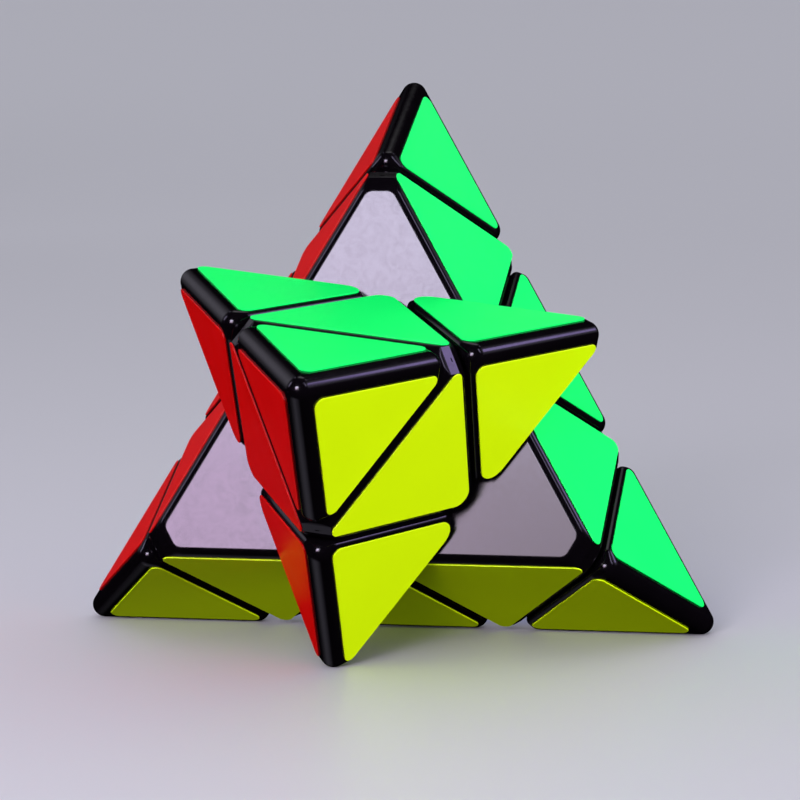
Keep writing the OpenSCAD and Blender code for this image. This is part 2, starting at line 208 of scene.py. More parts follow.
def hull(points):
    """Closed convex mesh round points, with flat faces kept whole."""
    bm = bmesh.new()
    for point in points:
        bm.verts.new(point)
    bmesh.ops.remove_doubles(bm, verts=bm.verts, dist=MERGE)
    made = bmesh.ops.convex_hull(bm, input=bm.verts)
    spare = [e for e in made["geom_interior"] + made["geom_unused"] if isinstance(e, bmesh.types.BMVert)]
    bmesh.ops.delete(bm, geom=list(set(spare)), context="VERTS")
    bmesh.ops.dissolve_limit(bm, angle_limit=FLAT_ANGLE, verts=bm.verts, edges=bm.edges)
    bmesh.ops.recalc_face_normals(bm, faces=bm.faces)
    return bm


def solid(planes):
    """Sharp convex solid inside planes."""
    return hull(corner_points(planes))


def rounded(planes, balls, steps):
    """Convex solid wrapped round balls that touch the planes. A ball is a radius and the
    clearances from its middle to three of the planes, as {plane: clearance}."""
    points = []
    for radius, clearances in balls:
        normals = [planes[i][0] for i in clearances]
        reach = [planes[i][1] - clearance for i, clearance in clearances.items()]
        middle = Matrix(normals).inverted() @ Vector(reach)
        crown = sum(normals, Vector()).normalized()
        for n1, n2 in combinations(normals, 2):
            for a in range(steps + 1):
                for b in range(steps + 1 - a):
                    ray = a * n1 + b * n2 + (steps - a - b) * crown
                    points.append(middle + ray.normalized() * radius)
    return hull(points)


def cylinder(radius, low, high, sides=96):
    """Upright cylinder between two heights."""
    bm = bmesh.new()
    place = Matrix.Translation((0, 0, (low + high) / 2))
    bmesh.ops.create_cone(
        bm, cap_ends=True, segments=sides, radius1=radius, radius2=radius, depth=high - low, matrix=place
    )
    return bm


def ball(radius):
    """Ball about the middle of the core."""
    bm = bmesh.new()
    bmesh.ops.create_uvsphere(bm, u_segments=96, v_segments=48, radius=radius)
    return bm


def shape(name, bm):
    """Object for a bmesh, which is freed."""
    mesh = bpy.data.meshes.new(name)
    bm.to_mesh(mesh)
    bm.free()
    obj = bpy.data.objects.new(name, mesh)
    bpy.context.scene.collection.objects.link(obj)
    return obj


def melt(obj):
    """Bmesh of an object, which is removed."""
    bm = bmesh.new()
    bm.from_mesh(obj.data)
    bpy.data.objects.remove(obj)
    return bm


def plain_mesh(obj):
    """Applies every modifier of obj."""
    depsgraph = bpy.context.evaluated_depsgraph_get()
    mesh = bpy.data.meshes.new_from_object(obj.evaluated_get(depsgraph))
    obj.modifiers.clear()
    obj.data = mesh
    return obj


def carve(obj, *tools):
    """Works on obj with (operation, bmesh) pairs: DIFFERENCE, UNION or INTERSECT."""
    for operation, bm in tools:
        tool = shape("tool", bm)
        cut = obj.modifiers.new("Cut", "BOOLEAN")
        cut.operation = operation
        cut.solver = "EXACT"
        cut.object = tool
        plain_mesh(obj)
        bpy.data.objects.remove(tool)


def smooth(obj, angle=35):
    """Smooth shading with sharp edges above angle, and flat faces that stay flat."""
    bm = bmesh.new()
    bm.from_mesh(obj.data)
    bmesh.ops.remove_doubles(bm, verts=bm.verts, dist=MERGE)
    bmesh.ops.dissolve_degenerate(bm, edges=bm.edges, dist=MERGE)
    for face in bm.faces:
        face.smooth = True
    for edge in bm.edges:
        edge.smooth = edge.calc_face_angle(0) < math.radians(angle)
    bm.to_mesh(obj.data)
    bm.free()
    weigh = obj.modifiers.new("Normals", "WEIGHTED_NORMAL")
    weigh.keep_sharp = True
    weigh.weight = 100
    return plain_mesh(obj)


# ---------------------------------------------------------------- the pyramid's own geometry


class Pyramid:
    """Distances that follow from the sizes, all from the middle of the core."""

    def __init__(self):
        sizes = bpy.context.scene.puzzle_sizes
        self.sizes = sizes
        self.corner = sizes.edge * math.sqrt(6) / 4
        self.face = self.corner / 3
        self.cell = self.face / 3
        self.layer_cut = self.cell
        self.tip_cut = 5 * self.cell
        self.half_gap = sizes.gap / 2
        self.tip_middle = UP * 6 * self.cell
        self.edge_middle = (UP + HOME["top"]) * 3 * self.cell
        self.far = sizes.edge

    def cell_planes(self, middle, cuts, inset=0.0, cut_inset=None):
        """Planes of a tip or an edge piece round middle. Cut faces stand half a gap back."""
        cut_inset = inset if cut_inset is None else cut_inset
        planes = []
        for name in CORNERS:
            back = self.half_gap + cut_inset if name in cuts else inset
            planes.append((-HOME[name], -HOME[name].dot(middle) + self.cell - back))
        return planes

    def cell_piece(self, middle, cuts):
        """Tip or edge piece: full roundings outside and at its corners, small ones at its cuts."""
        planes = self.cell_planes(middle, cuts)
        big, small = self.sizes.rounding, self.sizes.cut_rounding
        cut = [name in cuts for name in CORNERS]
        balls = [(big, dict.fromkeys(trio, big)) for trio in combinations(range(4), 3)]
        for i, j in combinations(range(4), 2):
            for k in {0, 1, 2, 3} - {i, j}:
                if cut[i] != cut[j]:
                    balls.append((small, {i: small, j: small, k: big + self.sizes.blend}))
        return rounded(planes, balls, self.sizes.steps)

    def centre_piece(self):
        """Front centre piece: eight sides, and a flat on each corner that is crisp towards the
        outer faces, wide towards the tip and slopes into the cuts beside the edge pieces."""
        planes = self.centre_planes()
        big, crisp = self.sizes.centre_rounding, self.sizes.crisp
        middle = UP * self.face
        reach = self.sizes.edge * math.sqrt(2) / 6 - self.sizes.notch
        lean = UP.angle(UP + HOME["top"])
        balls = []
        for name in CORNERS[1:]:
            for side in (1, -1):
                flat = side * (UP + HOME[name]).normalized()
                near = sorted(range(8), key=lambda i: -planes[i][0].dot(flat))[:4]
                planes.append((flat, flat.dot(middle) + reach))
                last = len(planes) - 1
                for i, j in combinations(near, 2):
                    if planes[i][0].dot(planes[j][0]) < 0:
                        continue
                    skin, cut = (i, j) if i in SKINS else (j, i)
                    back = self.sizes.slope_tip if cut == TIP_CUT else self.sizes.slope_edge
                    side_on = back * math.sin(lean) + crisp * math.cos(lean)
                    deep = back * math.sin(lean) + big * math.cos(lean)
                    balls.append((crisp, {skin: crisp, last: crisp, cut: side_on}))
                    turn = self.sizes.corner_turn
                    for share in (0, 0.3, 0.6, 1):
                        along = 1 - math.sin(share * math.pi / 2)
                        across = 1 - math.cos(share * math.pi / 2)
                        balls.append((
                            big, {skin: big + turn * across, cut: big, last: deep + turn * along}
                        ))
        return rounded(planes, balls, self.sizes.steps)

    def centre_planes(self, inset=0.0, core_inset=None):
        """Planes of the front centre piece; the first is its cut towards the core."""
        core_inset = inset if core_inset is None else core_inset
        planes = [(-UP, -self.layer_cut - self.half_gap - core_inset)]
        planes.append((UP, self.tip_cut - self.half_gap - inset))
        for name in CORNERS[1:]:
            planes.append((-HOME[name], self.face - inset))
            planes.append((HOME[name], self.layer_cut - self.half_gap - inset))
        return planes


def standing(a, b, turned):
    """Matrix that stands the home piece with its front at corner a and its top at corner b."""
    z = AXES[a]
    y = (AXES[b] - AXES[b].dot(z) * z).normalized()
    place = Matrix((y.cross(z), y, z)).transposed().to_4x4()
    if turned:
        place = Matrix.Rotation(bpy.context.scene.puzzle_sizes.turn, 4, AXES["front"]) @ place
    return Matrix.Translation(MIDDLE) @ place


def partner(corner):
    """The corner that a corner piece's own top points to."""
    return "top" if corner == "front" else "front"


def stand(home, place, node, body, slot):
    """Copy of a home piece at its place, standing for a CAD node."""
    name = f"{node}_moulding"
    mesh = home.data.copy()
    mesh.name = name
    mesh.transform(place)
    mesh.materials.clear()
    mesh.materials.append(finish_of(slot))
    obj = bpy.data.objects.new(name, mesh)
    bpy.context.scene.collection.objects.link(obj)
    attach(obj, body)
    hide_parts(node)


def body_of_corner(corner):
    """Body that carries the centre piece of a corner."""
    return "front_layer" if corner == "front" else "back_layers"


# ---------------------------------------------------------------- materials


def add(tree, kind, inputs=None, **settings):
    """Adds a node with its settings, and its inputs as values or as sockets to link."""
    node = tree.nodes.new(kind)
    for key, value in settings.items():
        setattr(node, key, value)
    for key, value in (inputs or {}).items():
        if isinstance(value, bpy.types.NodeSocket):
            tree.links.new(value, node.inputs[key])
        else:
            node.inputs[key].default_value = value
    return node


def new_material(name):
    """Empty node material and its Principled shader, linked to the output."""
    material = bpy.data.materials.new(name)
    material.use_nodes = True
    tree = material.node_tree
    tree.nodes.clear()
    shader = add(tree, "ShaderNodeBsdfPrincipled")
    add(tree, "ShaderNodeOutputMaterial", {"Surface": shader.outputs["BSDF"]})
    return material, tree, shader


def per_mm(tree, spacing):
    """Object coordinates scaled so that one unit is spacing millimetres."""
    place = add(tree, "ShaderNodeTexCoord")
    scale = 1 / (spacing * MM)
    return add(
        tree, "ShaderNodeMapping", {"Vector": place.outputs["Object"], "Scale": (scale,) * 3}
    ).outputs["Vector"]


def black_abs():
    """High-gloss injection-moulded ABS: near black, mirror-like flats with the faint long
    waves of sink marks, a fine polish grain and a few hairlines from handling."""
    material, tree, shader = new_material("Moulded black ABS")
    colours = bpy.context.scene.finish_colours
    waves = add(tree, "ShaderNodeTexNoise", {"Vector": per_mm(tree, 7), "Scale": 1.0, "Detail": 1.0})
    grain = add(tree, "ShaderNodeTexNoise", {"Vector": per_mm(tree, 0.35), "Scale": 1.0, "Detail": 2.0})
    hairs = add(
        tree, "ShaderNodeTexNoise",
        {"Vector": per_mm(tree, 2.4), "Scale": 1.0, "Detail": 3.0, "Distortion": 2.5},
    )
    sink = add(
        tree, "ShaderNodeBump", {"Strength": 0.1, "Distance": 0.06 * MM, "Height": waves.outputs["Fac"]}
    )
    polish = add(
        tree, "ShaderNodeBump",
        {"Strength": 0.12, "Distance": 0.004 * MM, "Height": grain.outputs["Fac"],
         "Normal": sink.outputs["Normal"]},
    )
    rough = add(
        tree, "ShaderNodeMapRange",
        {"Value": hairs.outputs["Fac"], "From Min": 0.35, "From Max": 0.75, "To Min": 0.13, "To Max": 0.2},
    )
    tone = add(tree, "ShaderNodeMix", {"Factor": waves.outputs["Fac"]}, data_type="RGBA")
    tone.inputs["A"].default_value = (*[c * 0.7 for c in colours.abs], 1)
    tone.inputs["B"].default_value = (*[c * 1.3 for c in colours.abs], 1)
    tree.links.new(tone.outputs["Result"], shader.inputs["Base Color"])
    tree.links.new(rough.outputs["Result"], shader.inputs["Roughness"])
    tree.links.new(polish.outputs["Normal"], shader.inputs["Normal"])
    shader.inputs["IOR"].default_value = 1.54
    shader.inputs["Specular Tint"].default_value = (*colours.sheen, 1)
    return material


def vinyl(name, rgb):
    """Gloss printed vinyl: saturated flat colour under a clear face with a slight orange
    peel, a little darker where the ink lies thin."""
    material, tree, shader = new_material(f"Gloss {name} vinyl")
    peel = add(tree, "ShaderNodeTexNoise", {"Vector": per_mm(tree, 1.1), "Scale": 1.0, "Detail": 2.0})
    cloud = add(tree, "ShaderNodeTexNoise", {"Vector": per_mm(tree, 9), "Scale": 1.0, "Detail": 2.0})
    bump = add(
        tree, "ShaderNodeBump", {"Strength": 0.06, "Distance": 0.01 * MM, "Height": peel.outputs["Fac"]}
    )
    rough = add(
        tree, "ShaderNodeMapRange", {"Value": cloud.outputs["Fac"], "To Min": 0.3, "To Max": 0.4}
    )
    tone = add(tree, "ShaderNodeMix", {"Factor": cloud.outputs["Fac"]}, data_type="RGBA")
    tone.inputs["A"].default_value = (*[c * 0.94 for c in rgb], 1)
    tone.inputs["B"].default_value = (*rgb, 1)
    tree.links.new(tone.outputs["Result"], shader.inputs["Base Color"])
    tree.links.new(rough.outputs["Result"], shader.inputs["Roughness"])
    tree.links.new(bump.outputs["Normal"], shader.inputs["Normal"])
    shader.inputs["IOR"].default_value = 1.4
    return material


def satin_nylon():
    """Injection-moulded nylon: dark grey, satin, with a fine spark-eroded grain."""
    material, tree, shader = new_material("Satin nylon")
    rgb = bpy.context.scene.finish_colours.nylon
    grain = add(tree, "ShaderNodeTexNoise", {"Vector": per_mm(tree, 0.25), "Scale": 1.0, "Detail": 3.0})
    bump = add(
        tree, "ShaderNodeBump", {"Strength": 0.3, "Distance": 0.01 * MM, "Height": grain.outputs["Fac"]}
    )
    tone = add(tree, "ShaderNodeMix", {"Factor": grain.outputs["Fac"]}, data_type="RGBA")
    tone.inputs["A"].default_value = (*[c * 0.85 for c in rgb], 1)
    tone.inputs["B"].default_value = (*[c * 1.15 for c in rgb], 1)
    tree.links.new(tone.outputs["Result"], shader.inputs["Base Color"])
    tree.links.new(bump.outputs["Normal"], shader.inputs["Normal"])
    shader.inputs["Roughness"].default_value = 0.42
    shader.inputs["IOR"].default_value = 1.53
    return material


def steel(name, hex_colour, roughness, streak_mm):
    """Steel with a metallic surface whose streaks follow the turning or drawing marks."""
    material, tree, shader = new_material(name)
    rgb = linear(hex_colour)
    streaks = add(
        tree, "ShaderNodeTexNoise", {"Vector": per_mm(tree, streak_mm), "Scale": 1.0, "Detail": 4.0}
    )
    bump = add(
        tree, "ShaderNodeBump", {"Strength": 0.2, "Distance": 0.006 * MM, "Height": streaks.outputs["Fac"]}
    )
    rough = add(
        tree, "ShaderNodeMapRange",
        {"Value": streaks.outputs["Fac"], "To Min": roughness * 0.8, "To Max": roughness * 1.2},
    )
    tone = add(tree, "ShaderNodeMix", {"Factor": streaks.outputs["Fac"]}, data_type="RGBA")
    tone.inputs["A"].default_value = (*[c * 0.88 for c in rgb], 1)
    tone.inputs["B"].default_value = (*rgb, 1)
    tree.links.new(tone.outputs["Result"], shader.inputs["Base Color"])
    tree.links.new(rough.outputs["Result"], shader.inputs["Roughness"])
    tree.links.new(bump.outputs["Normal"], shader.inputs["Normal"])
    shader.inputs["Metallic"].default_value = 1.0
    return material


MAKERS = {
    "black_abs": black_abs,
    "core_nylon": satin_nylon,
    # Zinc plate on turned steel: bluish, bright, with fine turning marks
    "plated_steel": lambda: steel("Zinc-plated steel", "c3c6cb", 0.28, 0.3),
    # Patented spring wire: darker, drawn smooth
    "spring_wire": lambda: steel("Drawn spring steel", "9a9b9f", 0.22, 0.15),
    "green_vinyl": lambda: vinyl("green", bpy.context.scene.finish_colours.green),
    "red_vinyl": lambda: vinyl("red", bpy.context.scene.finish_colours.red),
    "yellow_vinyl": lambda: vinyl("yellow", bpy.context.scene.finish_colours.yellow),
    "blue_vinyl": lambda: vinyl("blue", bpy.context.scene.finish_colours.blue),
}
finished = {}


def finish_of(slot):
    """Material of a slot, made when it is first asked for."""
    if slot not in finished:
        finished[slot] = MAKERS[slot]()
    return finished[slot]


def refinish(node, slot):
    """Gives a CAD node that stays in view its real material."""
    obj = frame["nodes"][node]
    obj.data.materials.clear()
    obj.data.materials.append(finish_of(slot))


# ---------------------------------------------------------------- mouldings


class PUZZLE_OT_centre_pieces(bpy.types.Operator):
    """Make the eight-sided centre shells over their bases"""

    bl_idname = "puzzle.centre_pieces"
    bl_label = "Centre pieces"

    socket_radius = 5.6 * MM
    socket_depth = 5.4 * MM
    groove_radius = 5.9 * MM
    groove_depth = 2.3 * MM
    groove_half = 0.5 * MM
    collar_wall = 1 * MM
    dish_radius = 13.7 * MM

    def execute(self, context):
        p = Pyramid()
        inside = solid(p.centre_planes(p.sizes.wall, -p.far))
        collar_top = p.tip_cut - p.half_gap - p.sizes.wall / 2
        socket_low = p.tip_cut - self.socket_depth
        groove = p.tip_cut - self.groove_depth
        home = shape("centre_home", p.centre_piece())
        carve(
            home,
            ("DIFFERENCE", inside),
            ("UNION", cylinder(self.groove_radius + self.collar_wall, socket_low, collar_top)),
            ("DIFFERENCE", cylinder(self.socket_radius, socket_low - BEYOND, p.tip_cut + BEYOND)),
            ("DIFFERENCE", cylinder(
                self.groove_radius, groove - self.groove_half, groove + self.groove_half
            )),
            ("DIFFERENCE", ball(self.dish_radius)),
        )
        smooth(home)
        for corner in CORNERS:
            body = body_of_corner(corner)
            place = standing(corner, partner(corner), body == "front_layer")
            node = f"{corner}_centre_shell"
            stand(home, place, node, body, "black_abs")
            refinish(f"{corner}_centre_base", "black_abs")
        bpy.data.objects.remove(home)
        return {"FINISHED"}


class PUZZLE_OT_tips(bpy.types.Operator):
    """Make the hollow tip caps and the plugged plates that close them"""

    bl_idname = "puzzle.tips"
    bl_label = "Tips"

    plug_radius = 5.5 * MM
    plug_wall = 1.3 * MM
    plug_depth = 3.8 * MM

    def execute(self, context):
        p = Pyramid()
        wall = p.sizes.wall
        inside_planes = p.cell_planes(p.tip_middle, ["front"], wall, -p.far)
        cap = shape("cap_home", p.cell_piece(p.tip_middle, ["front"]))
        carve(cap, ("DIFFERENCE", solid(inside_planes)))
        smooth(cap)
        plate_top = p.tip_cut + p.half_gap + wall
        base = shape("base_home", p.cell_piece(p.tip_middle, ["front"]))
        plate = solid(inside_planes + [(UP, plate_top)])
        plug_low = p.tip_cut - self.plug_depth
        plug_top = p.tip_cut + p.half_gap
        bore = self.plug_radius - self.plug_wall
        carve(
            base,
            ("INTERSECT", plate),
            ("UNION", cylinder(self.plug_radius, plug_low, plug_top + wall / 2)),
            ("DIFFERENCE", cylinder(bore, plug_low - BEYOND, plug_top)),
        )
        smooth(base)
        for corner in CORNERS:
            place = standing(corner, partner(corner), corner == "front")
            for home, kind in ((cap, "cap"), (base, "base")):
                node = f"{corner}_tip_{kind}"
                stand(home, place, node, f"{corner}_tip", "black_abs")
        bpy.data.objects.remove(cap)
        bpy.data.objects.remove(base)
        return {"FINISHED"}


class PUZZLE_OT_edge_pieces(bpy.types.Operator):
    """Make the shells of the edge pieces and the feet that hook under the centre pieces"""

    bl_idname = "puzzle.edge_pieces"
    bl_label = "Edge pieces"

    peg_radius = 2 * MM
    peg_play = 0.05 * MM
    peg_low = 18 * MM
    peg_clearance = 0.5 * MM
    boss_radius = 3.4 * MM
    boss_top = 25 * MM
    foot_in = 9.1 * MM
    foot_out = 13.3 * MM
    foot_side = math.radians(12.4)
    foot_end = math.radians(28)
    post_sides = 64

    def hook(self, p):
        """Piece of a thick ball shell whose sides all point at the middle of the core."""
        across = (HOME["top"] - UP).normalized()
        along = self.mid.cross(across)
        planes = [(self.mid, p.far)]
        for direction, half in ((across, self.foot_side), (along, self.foot_end)):
            for side in (1, -1):
                planes.append((side * math.cos(half) * direction - math.sin(half) * self.mid, 0.0))
        foot = shape("foot", solid(planes))
        carve(foot, ("INTERSECT", ball(self.foot_out)), ("DIFFERENCE", ball(self.foot_in)))
        return melt(foot)

    def boss(self, p, cuts):
        """Thick post round the peg's socket, kept inside the edge piece."""
        boss = shape("boss", p.cell_piece(p.edge_middle, cuts))
        carve(boss, ("INTERSECT", self.post(self.boss_radius, 0, self.boss_top)))
        return melt(boss)

    def post(self, radius, low, high):
        """Cylinder along the middle of the edge piece."""
        bm = cylinder(radius, low, high, self.post_sides)
        lean = self.mid.to_track_quat("Z", "Y").to_matrix().to_4x4()
        bmesh.ops.transform(bm, matrix=lean, verts=bm.verts)
        return bm

    def execute(self, context):
        p = Pyramid()
        self.mid = (UP + HOME["top"]).normalized()
        wall = p.sizes.wall
        cuts = ["front", "top"]
        outer_room = p.cell_planes(p.edge_middle, cuts, wall, -p.far)
        top = p.sizes.edge * math.sqrt(2) / 4 - p.sizes.rounding * 2
        shell = shape("shell_home", p.cell_piece(p.edge_middle, cuts))
        carve(
            shell,
            ("DIFFERENCE", solid(outer_room)),
            ("UNION", self.post(self.peg_radius, self.peg_low, top)),
        )
        smooth(shell)
        foot = shape("foot_home", p.cell_piece(p.edge_middle, cuts))
        carve(
            foot,
            ("INTERSECT", solid(outer_room)),
            ("DIFFERENCE", solid(p.cell_planes(p.edge_middle, cuts, -p.far, wall))),
            ("UNION", self.boss(p, cuts)),
            ("UNION", self.hook(p)),
            ("DIFFERENCE", self.post(
                self.peg_radius + self.peg_play, self.peg_low - self.peg_clearance, p.far
            )),
        )
        smooth(foot)
        for a, b in EDGES:
            body = body_of_corner(a)
            place = standing(a, b, body == "front_layer")
            for home, kind in ((shell, "shell"), (foot, "foot")):
                node = f"{a}_{b}_edge_{kind}"
                stand(home, place, node, body, "black_abs")
        bpy.data.objects.remove(shell)
        bpy.data.objects.remove(foot)
        return {"FINISHED"}


# ---------------------------------------------------------------- stickers


def sticker_tree():
    """Node tree that turns a sharp outline into a die-cut sticker: its corners rounded by
    the radius stored on each point, filled, and raised to the vinyl's thickness."""
    tree = bpy.data.node_groups.new("Die-cut sticker", "GeometryNodeTree")
    tree.is_modifier = True
    sockets = tree.interface
    sockets.new_socket("Outline", in_out="INPUT", socket_type="NodeSocketGeometry")
    sockets.new_socket("Thickness", in_out="INPUT", socket_type="NodeSocketFloat")
    sockets.new_socket("Corner points", in_out="INPUT", socket_type="NodeSocketInt")
    sockets.new_socket("Vinyl", in_out="INPUT", socket_type="NodeSocketMaterial")
    sockets.new_socket("Sticker", in_out="OUTPUT", socket_type="NodeSocketGeometry")
    start = add(tree, "NodeGroupInput").outputs
    radius = add(tree, "GeometryNodeInputNamedAttribute", {"Name": "corner_radius"}, data_type="FLOAT")
    outline = add(tree, "GeometryNodeMeshToCurve", {"Mesh": start["Outline"]})
    corners = add(
        tree, "GeometryNodeFilletCurve",
        {"Curve": outline.outputs["Curve"], "Count": start["Corner points"],
         "Radius": radius.outputs["Attribute"]},
        mode="POLY",
    )
    sheet = add(tree, "GeometryNodeFillCurve", {"Curve": corners.outputs["Curve"]}, mode="NGONS")
    raised = add(
        tree, "GeometryNodeExtrudeMesh",
        {"Mesh": sheet.outputs["Mesh"], "Offset Scale": start["Thickness"], "Individual": False},
    )
    under = add(tree, "GeometryNodeFlipFaces", {"Mesh": sheet.outputs["Mesh"]})
    whole = add(tree, "GeometryNodeJoinGeometry")
    tree.links.new(raised.outputs["Mesh"], whole.inputs["Geometry"])
    tree.links.new(under.outputs["Mesh"], whole.inputs["Geometry"])
    closed = add(
        tree, "GeometryNodeMergeByDistance",
        {"Geometry": whole.outputs["Geometry"], "Distance": CLOSE},
    )
    real = add(tree, "GeometryNodeRealizeInstances", {"Geometry": closed.outputs["Geometry"]})
    dressed = add(
        tree, "GeometryNodeSetMaterial", {"Geometry": real.outputs["Geometry"], "Material": start["Vinyl"]}
    )
    add(tree, "NodeGroupOutput", {"Sticker": dressed.outputs["Geometry"]})
    return tree


def set_inputs(modifier, **values):
    """Sets a node modifier's inputs by the names of their sockets."""
    for item in modifier.node_group.interface.items_tree:
        if item.in_out == "INPUT" and item.name.replace(" ", "_").lower() in values:
            modifier[item.identifier] = values[item.name.replace(" ", "_").lower()]


class PUZZLE_OT_stickers(bpy.types.Operator):
    """Make the stickers of the tips, the centre pieces and the edge pieces"""

    bl_idname = "puzzle.stickers"
    bl_label = "Stickers"

    def outline(self, side, margins, radii):
        """Corners of an inset triangle whose base lies on the X axis, each with its radius."""
        normals = [Vector((0, 1)), Vector((-math.sqrt(3) / 2, -0.5)), Vector((math.sqrt(3) / 2, -0.5))]
        offsets = [margins[0], margins[1] - side * math.sqrt(3) / 2, margins[2]]
        bm = bmesh.new()
        store = bm.verts.layers.float.new("corner_radius")
        corners = []
        for i in (0, 1, 2):
            m, n = normals[i - 1], normals[i]
            det = m.x * n.y - m.y * n.x
            x = (offsets[i - 1] * n.y - offsets[i] * m.y) / det
            y = (m.x * offsets[i] - n.x * offsets[i - 1]) / det
            vert = bm.verts.new((x, y, 0))
            vert[store] = radii[i]
            corners.append(vert)
        for i in (0, 1, 2):
            bm.edges.new((corners[i], corners[(i + 1) % 3]))
        return bm

    def template(self, tree, name, margins, radii, sheet):
        """One finished sticker lying on the XY plane."""
        sizes = bpy.context.scene.sticker_sizes
        obj = shape(name, self.outline(bpy.context.scene.puzzle_sizes.edge / 3, margins, radii))
        cut = obj.modifiers.new("Sticker", "NODES")
        cut.node_group = tree
        set_inputs(cut, thickness=sizes.thickness, corner_points=10, vinyl=sheet)
        plain_mesh(obj)
        lip = obj.modifiers.new("Lip", "BEVEL")
        lip.width = sizes.lip
        lip.segments = 3
        lip.limit_method = "ANGLE"
        plain_mesh(obj)
        return smooth(obj, 60)

    def lay(self, away, start, end):
        """Matrix that lays a template on the home face opposite away, its base from start to
        end, with the sticker on the left of that line as seen from outside."""
        z = -HOME[away]
        x = (end - start).normalized()
        place = Matrix((x, z.cross(x), z)).transposed().to_4x4()
        return Matrix.Translation(start) @ place

    def third(self, p, a, b):
        """Point a third of the way from corner a to corner b."""
        return (2 * HOME[a] + HOME[b]) * p.corner / 3

    def on_left(self, away, a, b):
        """True if the face opposite away lies to the left of the line from a to b."""
        return (HOME[b] - HOME[a]).cross(-HOME[away]).dot(HOME[a]) > 0

    def places(self, p):
        """Every sticker as (node, template, matrix in the home pyramid, turned)."""
        for hue, away in AWAY.items():
            rest = [name for name in CORNERS if name != away]
            for a in rest:
                b, c = [name for name in rest if name != a]
                if not self.on_left(away, a, b):
                    b, c = c, b
                turned = a == "front"
                layer = "front_layer" if turned else "back_layer"
                yield (
                    f"{a}_tip_{hue}_sticker", "tip",
                    self.lay(away, HOME[a] * p.corner, self.third(p, a, b)), turned,
                )
                yield (
                    f"{layer}_{hue}_stickers", "centre",
                    self.lay(away, self.third(p, a, c), self.third(p, a, b)), turned,
                )
                turned = "front" in (a, b)
                layer = "front_layer" if turned else "back_layer"
                yield (
                    f"{layer}_{hue}_stickers", "edge",
                    self.lay(away, self.third(p, a, b), self.third(p, b, a)), turned,
                )

    def execute(self, context):
        p = Pyramid()
        s = context.scene.sticker_sizes
        sheet = finish_of("green_vinyl")
        tree = sticker_tree()
        rim, cut, sharp = s.edge_margin, s.cut_margin, s.corner
        templates = {
            kind: self.template(tree, f"{kind}_sticker", margins, (sharp, sharp, inner), sheet)
            for kind, margins, inner in (
                ("tip", (rim, cut, rim), sharp),
                ("edge", (rim, cut, cut), s.middle),
                ("centre", (cut, cut, cut), s.inner),
            )
        }
        made = {}
        for node, kind, place, turned in self.places(p):
            mesh = templates[kind].data.copy()
            mesh.transform(standing("front", "top", turned) @ place)
            made.setdefault(node, []).append(mesh)
        for node, meshes in made.items():
            slot = f"{node.split('_')[2]}_vinyl"
            obj = self.join(f"{node}_vinyl", meshes)
            obj.data.materials.clear()
            obj.data.materials.append(finish_of(slot))
            carrier = node.split("_tip_")[0] + "_tip"
            if "_layer_" in node:
                carrier = "front_layer" if node.startswith("front") else "back_layers"
            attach(obj, carrier)
            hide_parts(node)
        for template in templates.values():
            bpy.data.objects.remove(template)
        return {"FINISHED"}

    def join(self, name, meshes):
        """One object of several meshes, with their normals kept."""
        objects = []
        for mesh in meshes:
            obj = bpy.data.objects.new(name, mesh)
            bpy.context.scene.collection.objects.link(obj)
            objects.append(obj)
        if len(objects) > 1:
            with bpy.context.temp_override(
                active_object=objects[0], selected_objects=objects, selected_editable_objects=objects
            ):
                bpy.ops.object.join()
        return objects[0]


# ---------------------------------------------------------------- core and fasteners


def wire_tree():
    """Node tree of a compression spring: a round wire on a helix whose first and last turns
    lie closed against each other."""
    tree = bpy.data.node_groups.new("Wound spring", "GeometryNodeTree")
    tree.is_modifier = True
    sockets = tree.interface
    sockets.new_socket("Geometry", in_out="INPUT", socket_type="NodeSocketGeometry")
    for label in ("Coil radius", "Wire radius", "Low", "High", "Turns", "Closed share"):
        sockets.new_socket(label, in_out="INPUT", socket_type="NodeSocketFloat")
    sockets.new_socket("Steel", in_out="INPUT", socket_type="NodeSocketMaterial")
    sockets.new_socket("Spring", in_out="OUTPUT", socket_type="NodeSocketGeometry")
    start = add(tree, "NodeGroupInput").outputs
    helix = add(
        tree, "GeometryNodeCurveSpiral",
        {"Resolution": 40, "Rotations": start["Turns"], "Start Radius": start["Coil radius"],
         "End Radius": start["Coil radius"], "Height": 0.0},
    )
    share = add(tree, "GeometryNodeSplineParameter").outputs["Factor"]
    end = add(tree, "ShaderNodeMath", {0: 1.0, 1: start["Closed share"]}, operation="SUBTRACT")
    rise = add(
        tree, "ShaderNodeMapRange",
        {"Value": share, "From Min": start["Closed share"], "From Max": end.outputs["Value"],
         "To Min": start["Low"], "To Max": start["High"]},
        interpolation_type="SMOOTHSTEP",
    )
    lift = add(tree, "ShaderNodeCombineXYZ", {"Z": rise.outputs["Result"]})
    wound = add(
        tree, "GeometryNodeSetPosition",
        {"Geometry": helix.outputs["Curve"], "Offset": lift.outputs["Vector"]},
    )
    section = add(
        tree, "GeometryNodeCurvePrimitiveCircle", {"Resolution": 12, "Radius": start["Wire radius"]}
    )
    wire = add(
        tree, "GeometryNodeCurveToMesh",
        {"Curve": wound.outputs["Geometry"], "Profile Curve": section.outputs["Curve"],
         "Fill Caps": True},
    )
    real = add(tree, "GeometryNodeRealizeInstances", {"Geometry": wire.outputs["Mesh"]})
    dressed = add(
        tree, "GeometryNodeSetMaterial", {"Geometry": real.outputs["Geometry"], "Material": start["Steel"]}
    )
    add(tree, "NodeGroupOutput", {"Spring": dressed.outputs["Geometry"]})
    return tree


